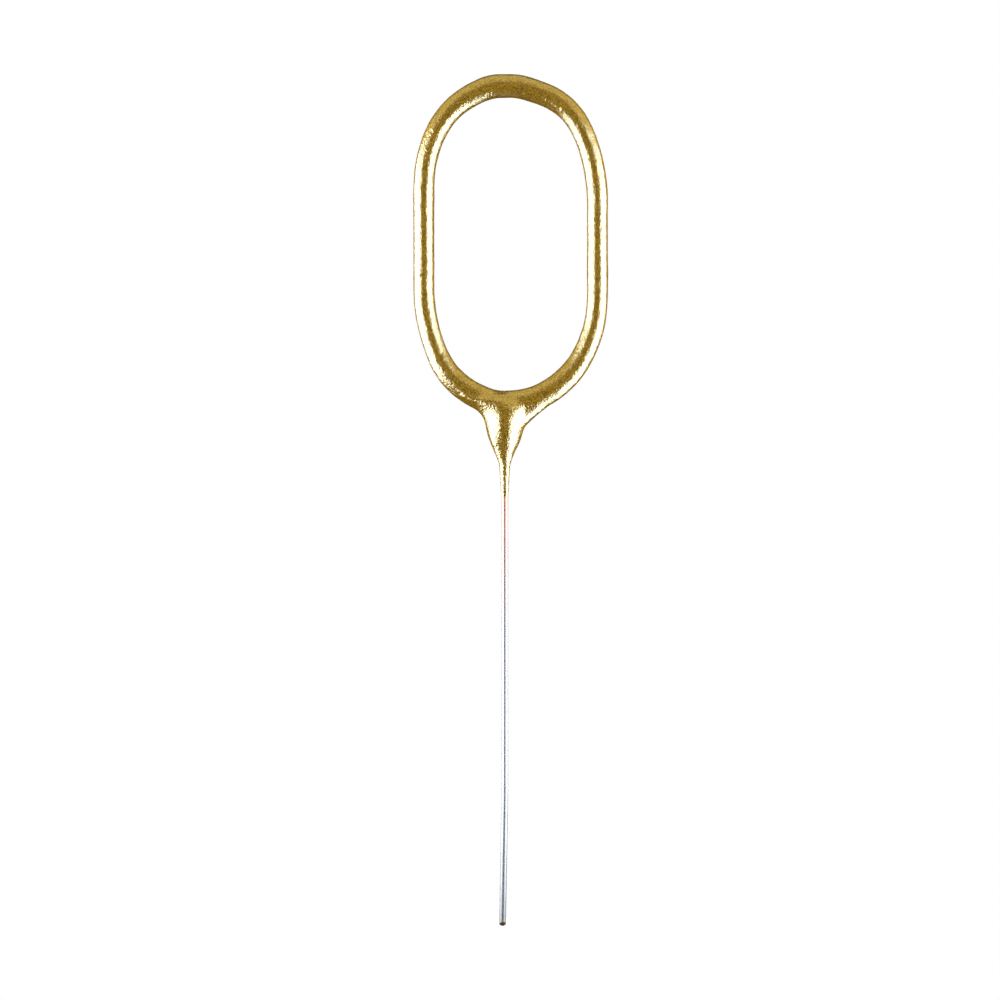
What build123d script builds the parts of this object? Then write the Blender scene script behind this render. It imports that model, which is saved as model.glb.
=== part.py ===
"""A cake sparkler in the shape of a figure nought, in millimetres.

One steel wire is the whole skeleton: a long straight stem, a tall oval loop, and a short tail that is
tucked back beside the stem to close the loop.  The loop is dipped twice in spark composition.  The thin
first dip grips the wire and runs down the stem as a tapered sleeve.  The thick second dip gives the figure
its body and pools in a neck under the loop.  A film of gold lacquer covers both.

The origin is at the stem's sheared tip, on its axis.  +Z runs up the stem, +X is to the right of the
figure seen from its front, and the front looks towards -Y.
"""

import os
from math import asin, cos, degrees, radians, sin

from build123d import *

# Steel wire
WIRE_DIAMETER = 1.4
TIP_RUN = 24.0  # straight stretch from the tip to the stem's slight bend
TIP_LEAN = 1.0  # degrees between that stretch and the rest of the stem
TIP_BEND_RADIUS = 300.0
SHEAR_ANGLE = 32.0  # degrees, slope of the sheared end face, which looks to the front
NECK_BEND_RADIUS = 3.0  # where the stem and the tail turn out into the loop
TAIL_LENGTH = 3.2  # straight stretch of the tucked end
TAIL_GAP = 0.5  # clear space between the tail and the stem

# Oval of the loop, along the wire's centreline
STEM_HEIGHT = 110.4  # from the tip to the lowest point of the oval
LOOP_HEIGHT = 67.0
LOOP_WIDTH = 36.7
LOOP_OFFSET = 1.25  # the oval's middle lies this far to the right of the stem
CROWN_OFFSET = -1.3  # its highest point, from that middle
BASE_OFFSET = -0.5  # its lowest point, from that middle

# Each quarter of the oval is three arcs: a crown arc at the level end, a side arc at the upright end, and
# a shoulder arc between them.  An easing is how much larger than the quarter's width a radius is.
CROWN_TURN = 28.0
SIDE_TURN = 24.0
TOP_LEFT_CROWN_EASING = -2.7
TOP_LEFT_SIDE_EASING = 10.1
TOP_RIGHT_CROWN_EASING = 1.7
TOP_RIGHT_SIDE_EASING = 17.4
BASE_LEFT_CROWN_EASING = -2.5
BASE_LEFT_SIDE_EASING = 18.6
BASE_RIGHT_CROWN_EASING = -3.0
BASE_RIGHT_SIDE_EASING = 8.5

# First dip
BASE_DIP_WALL = 0.45
SLEEVE_LENGTH = 6.3  # how far it runs down the stem below the neck
SLEEVE_EDGE_WALL = 0.1  # what is left of it at its lower edge

# Second dip: the wet mix pools where the wire lies level and thins where it stands upright
SIDE_WALL = 1.0
CROWN_WALL = 1.3
BASE_WALL = 1.55

# Neck: a round drop of mix on the stem, under an elbow of mix that comes down from the left half of the loop
DROP_RADIUS = 4.05
DROP_BELLY = 3.4  # its widest place, below the oval's lowest point
DROP_TOP = 0.4  # its top, below the oval's lowest point
DROP_TAPER = 6.4  # from the end of the tail to its foot
DROP_SLOPE = 17.0  # degrees between its flank and the stem at the foot
DROP_FOOT_WALL = 0.15  # what is left where it feathers out on the first dip

# Cross-sections of the elbow: two places on its outline, from the stem's axis and the oval's lowest point
ELBOW_ROOT_WAY = 11.0  # along the oval, from its lowest point to where the elbow grows out of the loop
ELBOW_ROOT_SINK = 0.15  # below the loop's surface there
CREST_INNER = (-5.6, -1.65)
CREST_OUTER = (-2.1, 2.4)
CREST_DEPTH = 6.0
BEND_INNER = (-4.5, -3.0)
BEND_OUTER = (1.8, 1.7)
BEND_DEPTH = 7.1
SHOULDER_INNER = (-4.2, -3.9)
SHOULDER_OUTER = (4.4, -1.4)
SHOULDER_DEPTH = 7.8
ELBOW_END_REACH = 3.75  # its lower end is sunk in the drop
ELBOW_END_DROP = 4.4  # below the oval's lowest point

# Web of mix in the corner between the neck and the right half of the loop
WEB_ROOT_RISE = 0.5  # its upper end is sunk in the loop, this far above the oval's lowest point
WEB_ROOT_REACH = 10.5  # from the stem's axis
WEB_ROOT_SINK = 0.9  # below the loop's front and back
WEB_FLARE_DROP = 2.5  # below the oval's lowest point
WEB_FLARE_REACH = 6.8
WEB_FLARE_WALL = 1.0  # in front of the first dip and behind it
WEB_FOOT_DROP = 6.6  # its lower end is sunk in the neck
WEB_FOOT_REACH = 2.4
WEB_FOOT_WALL = 0.4

# Gold lacquer
LACQUER_FILM = 0.1
LACQUER_RUN_DOWN = 1.4  # bare wire that it covers below the first dip
LACQUER_EDGE_FILM = 0.05

STATIONS = 16  # cross-sections in each half of the loop

WIRE_RADIUS = WIRE_DIAMETER / 2
DIP_RADIUS = WIRE_RADIUS + BASE_DIP_WALL
STEM_X = TIP_RUN * sin(radians(TIP_LEAN)) + TIP_BEND_RADIUS * (1 - cos(radians(TIP_LEAN)))
TAIL_X = STEM_X + WIRE_DIAMETER + TAIL_GAP
SLEEVE_EDGE_RADIUS = WIRE_RADIUS + SLEEVE_EDGE_WALL


def quarter_arcs(width, crown_easing, side_easing):
    """Radius and turn of a quarter's three arcs, from its level end to its upright end."""
    level_share = sin(radians(CROWN_TURN))
    upright_share = 1 - cos(radians(SIDE_TURN))
    spare = crown_easing * level_share + side_easing * upright_share
    shoulder_radius = width - spare / (1 - level_share - upright_share)
    shoulder_turn = 90 - CROWN_TURN - SIDE_TURN
    return [
        (width + crown_easing, CROWN_TURN),
        (shoulder_radius, shoulder_turn),
        (width + side_easing, SIDE_TURN),
    ]


def quarter_rise(arcs):
    """Height between the level end and the upright end of a quarter."""
    rise = 0
    turned = 0
    for radius, turn in arcs:
        rise += radius * (cos(radians(turned)) - cos(radians(turned + turn)))
        turned += turn
    return rise


def smooth_line(start, heading, steps):
    """Joins straight runs and tangent arcs in the XZ plane.  A step is a length, or a radius and a turn."""
    point = Vector(*start)
    edges = []
    for step in steps:
        along = Vector(cos(radians(heading)), sin(radians(heading)))
        if isinstance(step, tuple):
            radius, turn = step
            edge = JernArc(point, along, radius, turn)
            heading += turn
        else:
            edge = Line(point, point + along * step)
        edges.append(edge)
        point = edge @ 1
    return Plane.XZ * Wire(edges)


def clockwise(arcs):
    return [(radius, -turn) for radius, turn in arcs]


LOOP_X = STEM_X + LOOP_OFFSET
CROWN_X = LOOP_X + CROWN_OFFSET
BASE_X = LOOP_X + BASE_OFFSET
LEFT_X = LOOP_X - LOOP_WIDTH / 2
RIGHT_X = LOOP_X + LOOP_WIDTH / 2

TOP_LEFT = quarter_arcs(CROWN_X - LEFT_X, TOP_LEFT_CROWN_EASING, TOP_LEFT_SIDE_EASING)
TOP_RIGHT = quarter_arcs(RIGHT_X - CROWN_X, TOP_RIGHT_CROWN_EASING, TOP_RIGHT_SIDE_EASING)
BASE_LEFT = quarter_arcs(BASE_X - LEFT_X, BASE_LEFT_CROWN_EASING, BASE_LEFT_SIDE_EASING)
BASE_RIGHT = quarter_arcs(RIGHT_X - BASE_X, BASE_RIGHT_CROWN_EASING, BASE_RIGHT_SIDE_EASING)
LEFT_SIDE = LOOP_HEIGHT - quarter_rise(TOP_LEFT) - quarter_rise(BASE_LEFT)
RIGHT_SIDE = LOOP_HEIGHT - quarter_rise(TOP_RIGHT) - quarter_rise(BASE_RIGHT)


def left_half():
    """The oval from its lowest point up its left side to its highest point, as steps."""
    return clockwise(BASE_LEFT) + [LEFT_SIDE] + clockwise(reversed(TOP_LEFT))


def right_half():
    """The oval from its highest point down its right side to its lowest point, as steps."""
    return clockwise(TOP_RIGHT) + [RIGHT_SIDE] + clockwise(reversed(BASE_RIGHT))


def neck_bend(crown_radius, reach):
    """Turn of the oval that a neck bend cuts off, and the height where the bend leaves the upright.

    reach is the level distance from the oval's lowest point to the upright wire.
    """
    turn = degrees(asin((reach + NECK_BEND_RADIUS) / (crown_radius + NECK_BEND_RADIUS)))
    height = STEM_HEIGHT + crown_radius - (crown_radius + NECK_BEND_RADIUS) * cos(radians(turn))
    return turn, height


LEFT_BEND_TURN, LEFT_BEND_Z = neck_bend(BASE_LEFT[0][0], BASE_X - STEM_X)
RIGHT_BEND_TURN, RIGHT_BEND_Z = neck_bend(BASE_RIGHT[0][0], TAIL_X - BASE_X)
DROP_FOOT_Z = RIGHT_BEND_Z - TAIL_LENGTH - DROP_TAPER
SLEEVE_EDGE_Z = DROP_FOOT_Z - SLEEVE_LENGTH


def stem_steps(foot):
    """Upright stem from a height, its bend, and the left half of the loop."""
    (crown_radius, crown_turn), *rest = left_half()
    bend = (NECK_BEND_RADIUS, 90 - LEFT_BEND_TURN)
    return [LEFT_BEND_Z - foot, bend, (crown_radius, crown_turn + LEFT_BEND_TURN)] + rest


def tail_steps(extra=0.0):
    """Right half of the loop from its highest point, the bend, and the tail."""
    *rest, (crown_radius, crown_turn) = right_half()
    bend = (NECK_BEND_RADIUS, 90 - RIGHT_BEND_TURN)
    return rest + [(crown_radius, crown_turn + RIGHT_BEND_TURN), bend, TAIL_LENGTH + extra]


def wire_line():
    """Centreline of the whole wire, from a stub below the tip to the end of the tail."""
    stub = WIRE_DIAMETER
    lean = radians(TIP_LEAN)
    upright_foot = TIP_RUN * cos(lean) + TIP_BEND_RADIUS * sin(lean)
    tip_steps = [stub + TIP_RUN, (TIP_BEND_RADIUS, TIP_LEAN)]
    start = (-stub * sin(lean), -stub * cos(lean))
    return smooth_line(start, 90 - TIP_LEAN, tip_steps + stem_steps(upright_foot) + tail_steps())


def tube(line, radius):
    section = Plane(line @ 0, x_dir=(0, 1, 0), z_dir=line % 0) * Circle(radius)
    return sweep(section, path=line)


def core_wire():
    """The bent wire, with its tip sheared off so that the cut slopes up to the front."""
    slope = radians(SHEAR_ANGLE)
    shear = Plane((0, WIRE_RADIUS, 0), x_dir=(1, 0, 0), z_dir=(0, sin(slope), cos(slope)))
    return split(tube(wire_line(), WIRE_RADIUS), bisect_by=shear, keep=Keep.TOP)


def on_stem(height):
    return Plane((STEM_X, 0, height))


def base_dip_body():
    """Outside of the first dip: a tube over the loop, the bends and the tail, and the stem's sleeve."""
    left = smooth_line((STEM_X, DROP_FOOT_Z), 90, stem_steps(DROP_FOOT_Z))
    right = smooth_line((CROWN_X, STEM_HEIGHT + LOOP_HEIGHT), 0, tail_steps(BASE_DIP_WALL))
    sleeve = loft(
        [
            on_stem(SLEEVE_EDGE_Z) * Circle(SLEEVE_EDGE_RADIUS),
            on_stem(DROP_FOOT_Z) * Circle(DIP_RADIUS),
        ],
        ruled=True,
    )
    return tube(left, DIP_RADIUS) + tube(right, DIP_RADIUS) + sleeve


def pooled_section(place, along, level_wall, grow):
    """Cross-section of the loop: as deep everywhere, and taller the more level the wire lies."""
    wall = SIDE_WALL + (level_wall - SIDE_WALL) * along.X**2
    plane = Plane(place, x_dir=(0, 1, 0), z_dir=along)
    return plane * Ellipse(DIP_RADIUS + SIDE_WALL + grow, DIP_RADIUS + wall + grow)


def pooled_tube(line, start_wall, end_wall, grow):
    """A tube over the first dip, along half of the loop."""
    sections = []
    for station in range(STATIONS + 1):
        share = station / STATIONS
        level_wall = start_wall if share < 0.5 else end_wall
        sections.append(pooled_section(line @ share, line % share, level_wall, grow))
    return loft(sections)


def web_section(drop_height, reach, half_depth):
    """Level cross-section of the web at a height below the oval, from the stem's axis to its reach."""
    return Plane((STEM_X + reach / 2, 0, STEM_HEIGHT - drop_height)) * Ellipse(reach / 2, half_depth)


def web(grow):
    """The web, from inside the loop's lowest stretch down to inside the neck."""
    return loft(
        [
            web_section(-WEB_ROOT_RISE, WEB_ROOT_REACH + grow, DIP_RADIUS + SIDE_WALL - WEB_ROOT_SINK + grow),
            web_section(WEB_FLARE_DROP, WEB_FLARE_REACH + grow, DIP_RADIUS + WEB_FLARE_WALL + grow),
            web_section(WEB_FOOT_DROP, WEB_FOOT_REACH + grow, DIP_RADIUS + WEB_FOOT_WALL + grow),
        ]
    )


def left_line():
    """Centreline of the loop's left half, from its lowest point up."""
    return smooth_line((BASE_X, STEM_HEIGHT), 180, left_half())


def elbow_root(grow):
    """Cross-section where the elbow grows out of the loop's left half."""
    line = left_line()
    share = ELBOW_ROOT_WAY / line.length
    return pooled_section(line @ share, -(line % share), BASE_WALL, grow - ELBOW_ROOT_SINK)


def elbow_section(inner, outer, depth, grow):
    """Cross-section between two places on the elbow's outline, as deep as given from front to back."""
    start = Vector(STEM_X + inner[0], 0, STEM_HEIGHT + inner[1])
    end = Vector(STEM_X + outer[0], 0, STEM_HEIGHT + outer[1])
    across = end - start
    plane = Plane((start + end) / 2, x_dir=(0, 1, 0), z_dir=across.cross(Vector(0, 1, 0)))
    return plane * Ellipse(depth / 2 + grow, across.length / 2 + grow)


def elbow(grow):
    """The elbow, from inside the left half of the loop down to inside the drop."""
    end_inner = (-ELBOW_END_REACH, -ELBOW_END_DROP)
    end_outer = (ELBOW_END_REACH, -ELBOW_END_DROP)
    return loft(
        [
            elbow_root(grow),
            elbow_section(CREST_INNER, CREST_OUTER, CREST_DEPTH, grow),
            elbow_section(BEND_INNER, BEND_OUTER, BEND_DEPTH, grow),
            elbow_section(SHOULDER_INNER, SHOULDER_OUTER, SHOULDER_DEPTH, grow),
            elbow_section(end_inner, end_outer, 2 * ELBOW_END_REACH, grow),
        ]
    )


def drop(grow):
    """The round drop, turned about the stem: a slim foot, a full belly and a domed top."""
    foot = (DIP_RADIUS + DROP_FOOT_WALL + grow, DROP_FOOT_Z - grow)
    belly = (DROP_RADIUS + grow, STEM_HEIGHT - DROP_BELLY)
    top = (0, STEM_HEIGHT - DROP_TOP + grow)
    flank = (sin(radians(DROP_SLOPE)), cos(radians(DROP_SLOPE)))
    outline = [
        Spline(foot, belly, tangents=[flank, (0, 1)]),
        Spline(belly, top, tangents=[(0, 1), (-1, 0)]),
        Polyline(top, (0, foot[1]), foot),
    ]
    stem_axis = Axis((STEM_X, 0, 0), (0, 0, 1))
    return revolve(Plane((STEM_X, 0, 0), x_dir=(1, 0, 0), z_dir=(0, -1, 0)) * make_face(outline), stem_axis)


def main_dip_body(grow=0.0):
    """Outside of the second dip, or of a film laid over it."""
    right = smooth_line((CROWN_X, STEM_HEIGHT + LOOP_HEIGHT), 0, right_half())
    loop = pooled_tube(left_line(), BASE_WALL, CROWN_WALL, grow)
    loop += pooled_tube(right, CROWN_WALL, BASE_WALL, grow)
    return loop + web(grow) + elbow(grow) + drop(grow)


def lacquer_sleeve():
    """Outside of the lacquer on the first dip's sleeve and on the bare wire below it."""
    rings = [
        (SLEEVE_EDGE_Z - LACQUER_RUN_DOWN, WIRE_RADIUS + LACQUER_EDGE_FILM),
        (SLEEVE_EDGE_Z, SLEEVE_EDGE_RADIUS + LACQUER_FILM),
        (DROP_FOOT_Z, DIP_RADIUS + LACQUER_FILM),
    ]
    return loft([on_stem(height) * Circle(radius) for height, radius in rings], ruled=True)


def build():
    wire = core_wire()
    base_body = base_dip_body()
    main_body = main_dip_body()
    lacquer_body = main_dip_body(LACQUER_FILM) + lacquer_sleeve()
    return {
        "core_wire": wire,
        "base_dip": base_body - wire,
        "main_dip": main_body - base_body,
        "gold_lacquer": lacquer_body - main_body - base_body - wire,
    }


os.makedirs("parts", exist_ok=True)
for name, piece in build().items():
    export_step(piece, f"parts/{name}.step")
    print(name, len(piece.solids()), "solid", round(piece.volume, 2), "mm3", piece.bounding_box())
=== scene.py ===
"""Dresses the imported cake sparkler: a hand-dipped gold coat on a drawn steel wire, in a small studio."""
from math import pi, radians

import bmesh
import bpy
from mathutils import Matrix, Vector, noise


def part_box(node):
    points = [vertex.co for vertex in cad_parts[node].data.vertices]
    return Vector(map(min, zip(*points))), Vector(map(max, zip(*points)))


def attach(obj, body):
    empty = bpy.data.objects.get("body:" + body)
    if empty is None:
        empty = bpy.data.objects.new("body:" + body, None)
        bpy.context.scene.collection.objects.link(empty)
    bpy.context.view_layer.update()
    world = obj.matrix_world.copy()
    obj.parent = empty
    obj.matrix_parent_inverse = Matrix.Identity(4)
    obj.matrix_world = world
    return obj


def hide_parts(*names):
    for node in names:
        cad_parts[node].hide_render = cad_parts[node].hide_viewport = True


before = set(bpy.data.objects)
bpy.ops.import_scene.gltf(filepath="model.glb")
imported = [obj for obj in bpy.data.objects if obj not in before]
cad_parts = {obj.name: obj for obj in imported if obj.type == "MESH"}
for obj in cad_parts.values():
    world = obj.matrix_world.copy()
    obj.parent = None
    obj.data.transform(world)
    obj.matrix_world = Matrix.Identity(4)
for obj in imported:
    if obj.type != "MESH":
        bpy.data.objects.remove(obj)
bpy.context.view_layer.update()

MM = 0.001

# The gold coat's mesh
CREASE_RADIUS = 1.2 * MM
CREASE_FACE = 0.30 * MM
SKIN_FACE = 0.23 * MM
SKIN_SMOOTHING = 5
FILM_LEAST = 0.05 * MM
RIM_TRIM = 0.06 * MM
MERGE = 0.0001 * MM

# Unevenness that dipping leaves in the coat: how far apart and how high
SWELL_SPACING = 8.0 * MM
SWELL_HEIGHT = 0.10 * MM
RIPPLE_SPACING = 2.6 * MM
RIPPLE_HEIGHT = 0.05 * MM
PEBBLE_SPACING = 0.9 * MM
PEBBLE_HEIGHT = 0.02 * MM
GRAIN_SPACING = 5.5 * MM
GRAIN_RADIUS = 0.42 * MM
GRAIN_HEIGHT = 0.10 * MM
DIP_LEAST = -0.03 * MM

# The photograph's frame: the camera looks straight at the figure's front
VIEW_CENTRE = Vector((-0.54 * MM, 0.0, 90.0 * MM))
VIEW_WIDTH = 211.3 * MM
VIEW_DISTANCE = 2.0
SENSOR_WIDTH = 36.0

# The studio: lit side cards, pale cornices and ceiling, dark walls and pit, soft lamps and a white floor
CARD_DISTANCE = 0.35
CARD_FRONT = -0.48
LEFT_CARD_BACK = 0.18
RIGHT_CARD_BACK = 0.10
CARD_TOP = 0.27
LEFT_CARD_BOTTOM = -0.14
RIGHT_CARD_BOTTOM = -0.60
CARD_LEVEL = 18.5
CARD_COLOUR = "#F7FFE9"
CEILING_HEIGHT = 0.60
CEILING_LEVEL = 2.6
CEILING_COLOUR = "#FFEC92"
FRONT_WALL_TOP = 0.50
FRONT_WALL_LEVEL = 0.06
BACK_WALL_TOP = 0.50
DARK_LEVEL = 0.03
PIT_DEPTH = -0.60
LAMP_REACH = 0.48
LAMP_TOP = 0.33
LAMP_BOTTOM = -0.04
SIDE_LAMP_RADIANCE = 3.4
TOP_LAMP_RADIANCE = 0.5
FLOOR_RADIUS = 0.040
FLOOR_SEGMENTS = 128
AMBIENT_LEVEL = 0.15
WHITE_LEVEL = 1.0

# The backdrop by how nearly a look goes along +Y: grey up to one share, white from the other
GREY_END = 0.90
WHITE_START = 0.97
GREY_COLOUR = "#ECEDEE"
WHITE_COLOUR = "#FFFFFF"

QUARTER_TURN = radians(90)

# The Mix node's colour sockets, which share their names with its number sockets
MIX_A, MIX_B, MIX_COLOUR = 6, 7, 2


def linear(hex_colour):
    """Turns an sRGB hex colour into linear RGBA."""
    channels = [int(hex_colour[i:i + 2], 16) / 255 for i in (1, 3, 5)]
    return [c / 12.92 if c <= 0.04045 else ((c + 0.055) / 1.055) ** 2.4 for c in channels] + [1.0]


def merged_copy(node):
    """A bmesh copy of a CAD node with its loose triangles merged."""
    copy = bmesh.new()
    copy.from_mesh(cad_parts[node].data)
    bmesh.ops.remove_doubles(copy, verts=copy.verts, dist=MERGE)
    return copy


def shown_object(name, shape):
    """Makes an object from a bmesh, shaded smooth, at the origin."""
    mesh = bpy.data.meshes.new(name)
    shape.to_mesh(mesh)
    shape.free()
    mesh.shade_smooth()
    piece = bpy.data.objects.new(name, mesh)
    bpy.context.scene.collection.objects.link(piece)
    return piece


def drop_object(piece):
    """Removes a working object and its mesh."""
    mesh = piece.data
    bpy.data.objects.remove(piece)
    bpy.data.meshes.remove(mesh)


def lacquer_walls():
    """The outer and the inner wall of the lacquer film, which only its flat lower rim joins."""
    outer = merged_copy("gold_lacquer")
    rim_height = min(vert.co.z for vert in outer.verts) + MERGE
    rim = [face for face in outer.faces if max(vert.co.z for vert in face.verts) < rim_height]
    bmesh.ops.delete(outer, geom=rim, context="FACES")
    reached = {max(outer.verts, key=lambda vert: vert.co.z)}
    ahead = list(reached)
    while ahead:
        vert = ahead.pop()
        beside = {edge.other_vert(vert) for edge in vert.link_edges} - reached
        reached |= beside
        ahead += beside
    inner = outer.copy()
    outside = [vert in reached for vert in outer.verts]
    bmesh.ops.delete(inner, geom=[v for v, out in zip(inner.verts, outside) if out], context="VERTS")
    bmesh.ops.delete(outer, geom=[v for v, out in zip(outer.verts, outside) if not out], context="VERTS")
    return outer, inner


def even_skin(outer, inner):
    """The outer wall in small even faces, with its creases filled, and nowhere below the wall it covers."""
    rim = [edge for edge in outer.edges if edge.is_boundary]
    bmesh.ops.holes_fill(outer, edges=rim, sides=0)
    covered = inner.copy()
    bmesh.ops.reverse_faces(covered, faces=covered.faces)
    skin = shown_object("skin_working", outer)
    wall = shown_object("wall_working", covered)
    for name, move, face in (("swell", CREASE_RADIUS, CREASE_FACE), ("shrink", -CREASE_RADIUS, SKIN_FACE)):
        even_faces(skin, name + "_faces", CREASE_FACE)
        push = skin.modifiers.new(name, "DISPLACE")
        push.mid_level = 0.0
        push.strength = move
        even_faces(skin, name + "_evened", face)
    smooth = skin.modifiers.new("smooth", "SMOOTH")
    smooth.iterations = SKIN_SMOOTHING
    above = skin.modifiers.new("above_wall", "SHRINKWRAP")
    above.target = wall
    above.wrap_mode = "OUTSIDE"
    above.offset = FILM_LEAST
    even = bmesh.new()
    even.from_object(skin, bpy.context.evaluated_depsgraph_get())
    drop_object(skin)
    drop_object(wall)
    return even


def even_faces(piece, name, face):
    """Adds a modifier that gives a closed piece small faces of one size."""
    remesh = piece.modifiers.new(name, "REMESH")
    remesh.mode = "VOXEL"
    remesh.voxel_size = face


def dip_height(point):
    """How far the dipped coat stands proud of an even film at a point."""
    swell = noise.noise(point / SWELL_SPACING) * SWELL_HEIGHT
    ripple = noise.noise(point / RIPPLE_SPACING) * RIPPLE_HEIGHT
    pebble = noise.noise(point / PEBBLE_SPACING) * PEBBLE_HEIGHT
    nearest = noise.voronoi(point / GRAIN_SPACING)[0][0] * GRAIN_SPACING
    grain = max(0.0, 1.0 - (nearest / GRAIN_RADIUS) ** 2) ** 2 * GRAIN_HEIGHT
    return max(swell + ripple + pebble, DIP_LEAST) + grain


def gold_coat():
    """The lacquer as it dries on the dipped figure: an uneven outer skin on the film's own inner wall."""
    outer, inner = lacquer_walls()
    skin = even_skin(outer, inner)
    skin.normal_update()
    moves = [(vert, vert.normal * dip_height(vert.co)) for vert in skin.verts]
    for vert, move in moves:
        vert.co += move
    rim = Vector((0.0, 0.0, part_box("gold_lacquer")[0].z + RIM_TRIM))
    everything = skin.verts[:] + skin.edges[:] + skin.faces[:]
    bmesh.ops.bisect_plane(skin, geom=everything, plane_co=rim, plane_no=(0, 0, 1), clear_inner=True)
    wall = bpy.data.meshes.new("wall_working")
    inner.to_mesh(wall)
    inner.free()
    skin.from_mesh(wall)
    bpy.data.meshes.remove(wall)
    bmesh.ops.bridge_loops(skin, edges=[edge for edge in skin.edges if edge.is_boundary])
    piece = shown_object("gold_coat", skin)
    piece.data.materials.append(bronze_lacquer())
    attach(piece, "root")
    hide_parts("gold_lacquer")


def new_material(name):
    """A node material with its tree, its Principled shader and its Object coordinates."""
    material = bpy.data.materials.new(name)
    material.use_nodes = True
    tree = material.node_tree
    place = tree.nodes.new("ShaderNodeTexCoord").outputs["Object"]
    return material, tree, tree.nodes["Principled BSDF"], place


def add(tree, kind, inputs, **settings):
    """Adds a node with its settings; an input is a value, or the output socket that feeds it."""
    node = tree.nodes.new(kind)
    for name, value in settings.items():
        setattr(node, name, value)
    for key, value in inputs.items():
        if isinstance(value, bpy.types.NodeSocket):
            tree.links.new(value, node.inputs[key])
        else:
            node.inputs[key].default_value = value
    return node


def bronze_lacquer():
    """Bronze powder in clear lacquer, dried on a dip: grainy, flecked old gold under a hard white gloss."""
    material, tree, shader, place = new_material("bronze_lacquer")
    cloud_size = 5.0 * MM
    grain_size = 0.45 * MM
    grain_height = 0.11 * MM
    # Real flakes are a tenth as large: they are drawn as coarse as they need to be to show
    flake_size = 0.30 * MM
    flake_edge = 0.40
    flake_core = 0.66
    clouds = add(tree, "ShaderNodeTexNoise", {"Vector": place, "Scale": 1 / cloud_size, "Detail": 3.0})
    grains = add(tree, "ShaderNodeTexNoise", {"Vector": place, "Scale": 1 / grain_size, "Detail": 2.0})
    gold = add(tree, "ShaderNodeMix", {
        0: clouds.outputs["Fac"], MIX_A: linear("#74580A"), MIX_B: linear("#84640E")}, data_type="RGBA")
    flakes = add(tree, "ShaderNodeTexNoise", {"Vector": place, "Scale": 1 / flake_size, "Detail": 1.0})
    bright = add(tree, "ShaderNodeMapRange", {
        "Value": flakes.outputs["Fac"], "From Min": flake_edge, "From Max": flake_core, "To Max": 0.9})
    flecked = add(tree, "ShaderNodeMix", {
        0: bright.outputs["Result"],
        MIX_A: gold.outputs[MIX_COLOUR],
        MIX_B: linear("#B8902A")}, data_type="RGBA")
    rough = add(tree, "ShaderNodeMapRange", {
        "Value": clouds.outputs["Fac"], "To Min": 0.15, "To Max": 0.22})
    bump = add(tree, "ShaderNodeBump", {
        "Height": grains.outputs["Fac"], "Strength": 1.0, "Distance": grain_height})
    tree.links.new(flecked.outputs[MIX_COLOUR], shader.inputs["Base Color"])
    tree.links.new(rough.outputs["Result"], shader.inputs["Roughness"])
    tree.links.new(bump.outputs["Normal"], shader.inputs["Normal"])
    tree.links.new(bump.outputs["Normal"], shader.inputs["Coat Normal"])
    shader.inputs["Metallic"].default_value = 0.04
    shader.inputs["Specular IOR Level"].default_value = 0.0
    shader.inputs["Coat Weight"].default_value = 1.0
    shader.inputs["Coat Roughness"].default_value = 0.15
    shader.inputs["Coat IOR"].default_value = 1.7
    return material


def drawn_steel():
    """Bright steel wire pulled through a die: fine lines along it.

    It is rosy below the lacquer, darker towards the tip and brown on the sheared end.
    """
    material, tree, shader, place = new_material("drawn_steel")
    # Real drawing lines are a fifth as wide: they are drawn as coarse as they need to be to show
    line_width = 0.12 * MM
    line_length = 14.0 * MM
    line_depth = 0.02 * MM
    stain_top = 91.7 * MM
    stain_bottom = 65.0 * MM
    darkening_top = 30.0 * MM
    darkening_bottom = 14.0 * MM
    rust_top = 1.6 * MM
    rust_bottom = 0.6 * MM
    along = add(tree, "ShaderNodeMapping", {
        "Vector": place, "Scale": (1 / line_width, 1 / line_width, 1 / line_length)})
    lines = add(tree, "ShaderNodeTexNoise", {
        "Vector": along.outputs["Vector"], "Scale": 1.0, "Detail": 2.0})
    height = add(tree, "ShaderNodeSeparateXYZ", {"Vector": place})
    stain = add(tree, "ShaderNodeMapRange", {
        "Value": height.outputs["Z"], "From Min": stain_bottom, "From Max": stain_top})
    colour = add(tree, "ShaderNodeMix", {
        0: stain.outputs["Result"], MIX_A: linear("#605E6C"), MIX_B: linear("#76595A")}, data_type="RGBA")
    # Darker towards the tip: only the colour changes there, not the gloss
    dull = add(tree, "ShaderNodeMapRange", {
        "Value": height.outputs["Z"], "From Min": darkening_top, "From Max": darkening_bottom})
    darkened = add(tree, "ShaderNodeMix", {
        0: dull.outputs["Result"],
        MIX_A: colour.outputs[MIX_COLOUR],
        MIX_B: linear("#50515D")}, data_type="RGBA")
    rust = add(tree, "ShaderNodeMapRange", {
        "Value": height.outputs["Z"], "From Min": rust_top, "From Max": rust_bottom})
    tipped = add(tree, "ShaderNodeMix", {
        0: rust.outputs["Result"],
        MIX_A: darkened.outputs[MIX_COLOUR],
        MIX_B: linear("#5C5247")}, data_type="RGBA")
    rough = add(tree, "ShaderNodeMapRange", {
        "Value": lines.outputs["Fac"], "To Min": 0.43, "To Max": 0.49})
    bump = add(tree, "ShaderNodeBump", {
        "Height": lines.outputs["Fac"], "Strength": 0.08, "Distance": line_depth})
    tree.links.new(tipped.outputs[MIX_COLOUR], shader.inputs["Base Color"])
    tree.links.new(rough.outputs["Result"], shader.inputs["Roughness"])
    tree.links.new(bump.outputs["Normal"], shader.inputs["Normal"])
    shader.inputs["Metallic"].default_value = 1.0
    return material


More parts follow.
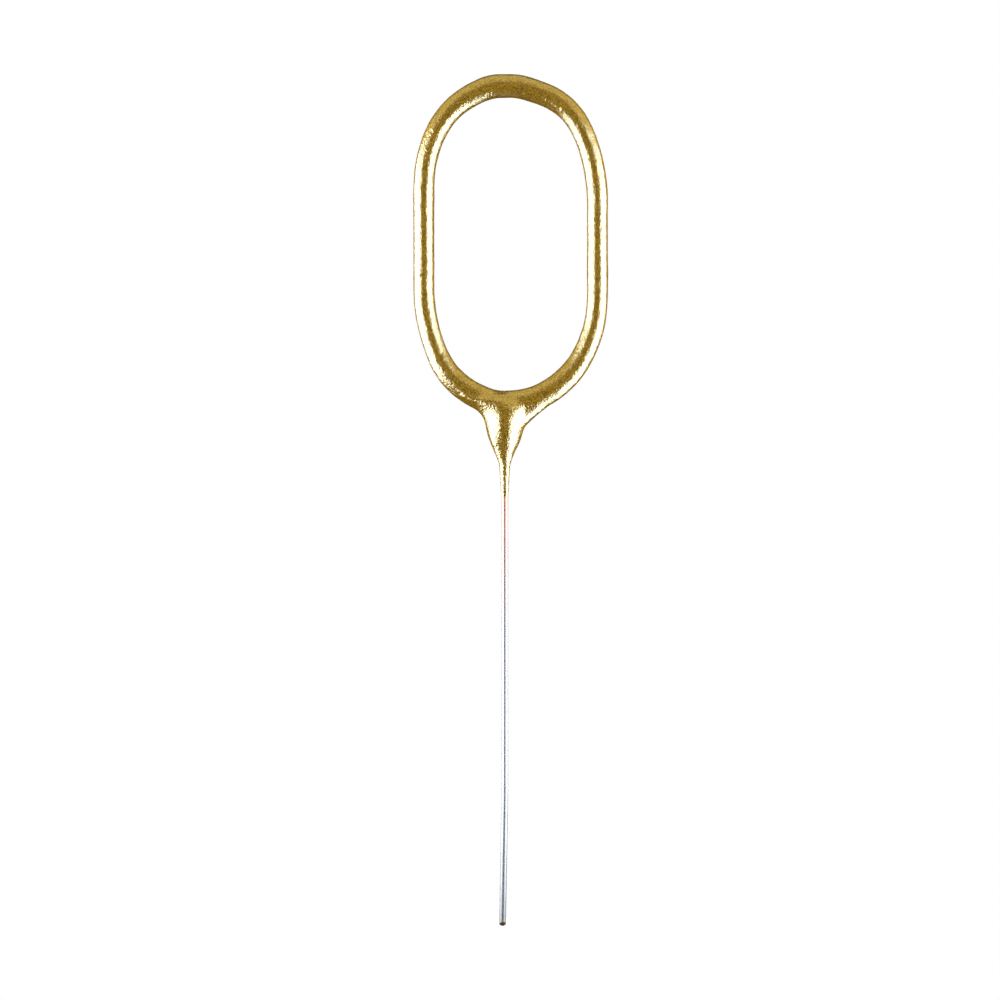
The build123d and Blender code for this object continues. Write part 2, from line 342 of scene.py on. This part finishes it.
def spark_composition():
    """Dried paste of nitrate, binder and metal filings: dull dark grey and gritty, with pale grains."""
    material, tree, shader, place = new_material("spark_composition")
    filing_size = 0.35 * MM
    filing_height = 0.08 * MM
    filing_edge = 0.30
    filing_core = 0.18
    paste_size = 1.6 * MM
    paste = add(tree, "ShaderNodeTexNoise", {"Vector": place, "Scale": 1 / paste_size, "Detail": 4.0})
    filings = add(tree, "ShaderNodeTexVoronoi", {"Vector": place, "Scale": 1 / filing_size})
    glint = add(tree, "ShaderNodeMapRange", {
        "Value": filings.outputs["Distance"], "From Min": filing_edge, "From Max": filing_core})
    colour = add(tree, "ShaderNodeMix", {
        0: paste.outputs["Fac"], MIX_A: linear("#3B3835"), MIX_B: linear("#5A5653")}, data_type="RGBA")
    grains = add(tree, "ShaderNodeMix", {
        0: glint.outputs["Result"],
        MIX_A: colour.outputs[MIX_COLOUR],
        MIX_B: linear("#A9A7A2")}, data_type="RGBA")
    bump = add(tree, "ShaderNodeBump", {
        "Height": filings.outputs["Distance"], "Strength": 0.5, "Distance": filing_height})
    tree.links.new(grains.outputs[MIX_COLOUR], shader.inputs["Base Color"])
    tree.links.new(glint.outputs["Result"], shader.inputs["Metallic"])
    tree.links.new(bump.outputs["Normal"], shader.inputs["Normal"])
    shader.inputs["Roughness"].default_value = 0.8
    return material


def dress(node, material):
    """Gives a CAD node that keeps its shape a finish of its own."""
    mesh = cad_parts[node].data
    mesh.materials.clear()
    mesh.materials.append(material)


def white_board():
    """Matt white board with the faint mottle of a roller, plain white where light falls on it."""
    material, tree, shader, place = new_material("white_board")
    mottle_size = 4.0 * MM
    mottle = add(tree, "ShaderNodeTexNoise", {"Vector": place, "Scale": 1 / mottle_size})
    colour = add(tree, "ShaderNodeMix", {
        0: mottle.outputs["Fac"], MIX_A: linear("#F1F1F0"), MIX_B: linear("#F6F6F5")}, data_type="RGBA")
    tree.links.new(colour.outputs[MIX_COLOUR], shader.inputs["Base Color"])
    shader.inputs["Roughness"].default_value = 0.9
    return material


def seen_directly(tree):
    """A socket that is 1 for what the camera, a mirror or glass looks at, and 0 for falling light."""
    looks = add(tree, "ShaderNodeLightPath", {})
    mirrored = add(tree, "ShaderNodeMath", {
        0: looks.outputs["Is Camera Ray"], 1: looks.outputs["Is Glossy Ray"]}, operation="MAXIMUM")
    seen = add(tree, "ShaderNodeMath", {
        0: mirrored.outputs["Value"], 1: looks.outputs["Is Transmission Ray"]}, operation="MAXIMUM")
    return seen.outputs["Value"]


def round_floor():
    """A round white board under the stem's tip."""
    shape = bmesh.new()
    bmesh.ops.create_circle(shape, cap_ends=True, segments=FLOOR_SEGMENTS, radius=FLOOR_RADIUS)
    floor = shown_object("round_floor", shape)
    floor.data.materials.append(white_board())


def card_light(level, colour):
    """A card of one brightness and colour, for reflections."""
    material = bpy.data.materials.new("studio_card")
    material.use_nodes = True
    tree = material.node_tree
    tree.nodes.clear()
    glow = add(tree, "ShaderNodeEmission", {"Color": linear(colour), "Strength": level})
    add(tree, "ShaderNodeOutputMaterial", {"Surface": glow.outputs["Emission"]})
    return material


def studio_card(name, low, high, level, colour=WHITE_COLOUR):
    """A flat card between two corners that only reflections see, for the gold to mirror."""
    middle = (Vector(low) + Vector(high)) / 2
    size = Vector(high) - Vector(low)
    flat = min(range(3), key=lambda axis: size[axis])
    turns = (
        Matrix.Rotation(QUARTER_TURN, 4, "Y"),
        Matrix.Rotation(QUARTER_TURN, 4, "X"),
        Matrix.Identity(4),
    )
    # A square with sides of 1, turned to face along its flat axis and then stretched
    shape = bmesh.new()
    bmesh.ops.create_grid(shape, x_segments=1, y_segments=1, size=0.5, matrix=turns[flat])
    bmesh.ops.scale(shape, vec=[side or 1.0 for side in size], verts=shape.verts)
    bmesh.ops.translate(shape, vec=middle, verts=shape.verts)
    card = shown_object(name, shape)
    card.data.materials.append(card_light(level, colour))
    card.visible_camera = False
    card.visible_diffuse = False
    card.visible_transmission = False
    card.visible_shadow = False


def studio_cards():
    """What the figure mirrors: a lit card each side, the right one longer, and the rest of the studio."""
    left, right = -CARD_DISTANCE, CARD_DISTANCE
    near, far = CARD_FRONT, LEFT_CARD_BACK
    studio_card("left_card", (left, near, LEFT_CARD_BOTTOM), (left, far, CARD_TOP),
                CARD_LEVEL, CARD_COLOUR)
    studio_card("right_card", (right, near, RIGHT_CARD_BOTTOM), (right, RIGHT_CARD_BACK, CARD_TOP),
                CARD_LEVEL, CARD_COLOUR)
    studio_card("right_gap", (right, RIGHT_CARD_BACK, PIT_DEPTH), (right, far, CARD_TOP), DARK_LEVEL)
    studio_card("ceiling", (left, near, CEILING_HEIGHT), (right, far, CEILING_HEIGHT),
                CEILING_LEVEL, CEILING_COLOUR)
    for name, side in (("left_cornice", left), ("right_cornice", right)):
        studio_card(name, (side, near, CARD_TOP), (side, far, CEILING_HEIGHT),
                    CEILING_LEVEL, CEILING_COLOUR)
    studio_card("front_wall", (left, near, PIT_DEPTH), (right, near, FRONT_WALL_TOP), FRONT_WALL_LEVEL)
    studio_card("back_wall", (left, far, PIT_DEPTH), (right, far, BACK_WALL_TOP), DARK_LEVEL)
    studio_card("left_skirt", (left, near, PIT_DEPTH), (left, far, LEFT_CARD_BOTTOM), DARK_LEVEL)
    studio_card("pit", (left, near, PIT_DEPTH), (right, far, PIT_DEPTH), DARK_LEVEL)


def soft_lamp(name, place, turn, size, radiance):
    """A large soft lamp, which lights the figure but isn't mirrored in it."""
    lamp = bpy.data.lights.new(name, "AREA")
    lamp.shape = "RECTANGLE"
    lamp.size, lamp.size_y = size
    lamp.energy = radiance * pi * lamp.size * lamp.size_y
    holder = bpy.data.objects.new(name, lamp)
    holder.location = place
    holder.rotation_euler = turn
    holder.visible_camera = False
    holder.visible_glossy = False
    bpy.context.scene.collection.objects.link(holder)


def soft_lamps():
    """A soft lamp each side and a weaker one overhead, which light the front and the back alike."""
    depth = 2 * LAMP_REACH
    height = LAMP_TOP - LAMP_BOTTOM
    middle_z = (LAMP_TOP + LAMP_BOTTOM) / 2
    for name, side in (("left_lamp", -1), ("right_lamp", 1)):
        place = (side * CARD_DISTANCE, 0.0, middle_z)
        soft_lamp(name, place, (0.0, side * QUARTER_TURN, 0.0), (height, depth), SIDE_LAMP_RADIANCE)
    soft_lamp("top_lamp", (0.0, 0.0, CEILING_HEIGHT), (0.0, 0.0, 0.0),
              (2 * CARD_DISTANCE, depth), TOP_LAMP_RADIANCE)


def white_surroundings():
    """White behind the figure, pale grey past its other sides, and a dim even light.

    The figure's white gloss shows against the grey.
    """
    world = bpy.data.worlds.new("white_surroundings")
    bpy.context.scene.world = world
    world.use_nodes = True
    tree = world.node_tree
    background = tree.nodes["Background"]
    strength = add(tree, "ShaderNodeMapRange", {
        "Value": seen_directly(tree), "To Min": AMBIENT_LEVEL, "To Max": WHITE_LEVEL})
    tree.links.new(strength.outputs["Result"], background.inputs["Strength"])
    direction = tree.nodes.new("ShaderNodeTexCoord").outputs["Generated"]
    way = add(tree, "ShaderNodeSeparateXYZ", {"Vector": direction})
    behind = add(tree, "ShaderNodeMapRange", {
        "Value": way.outputs["Y"], "From Min": GREY_END, "From Max": WHITE_START})
    colour = add(tree, "ShaderNodeMix", {
        0: behind.outputs["Result"],
        MIX_A: linear(GREY_COLOUR),
        MIX_B: linear(WHITE_COLOUR)}, data_type="RGBA")
    tree.links.new(colour.outputs[MIX_COLOUR], background.inputs["Color"])


def front_camera():
    """A long lens straight in front, framed as the photograph is."""
    lens = bpy.data.cameras.new("front_camera")
    lens.sensor_width = SENSOR_WIDTH
    lens.lens = SENSOR_WIDTH * VIEW_DISTANCE / VIEW_WIDTH
    camera = bpy.data.objects.new("front_camera", lens)
    camera.location = VIEW_CENTRE + Vector((0.0, -VIEW_DISTANCE, 0.0))
    camera.rotation_euler = (QUARTER_TURN, 0.0, 0.0)
    bpy.context.scene.collection.objects.link(camera)
    bpy.context.scene.camera = camera


gold_coat()
dress("core_wire", drawn_steel())
composition = spark_composition()
dress("base_dip", composition)
dress("main_dip", composition)

round_floor()
studio_cards()
soft_lamps()
white_surroundings()
front_camera()
bpy.context.scene.view_settings.view_transform = "Standard"
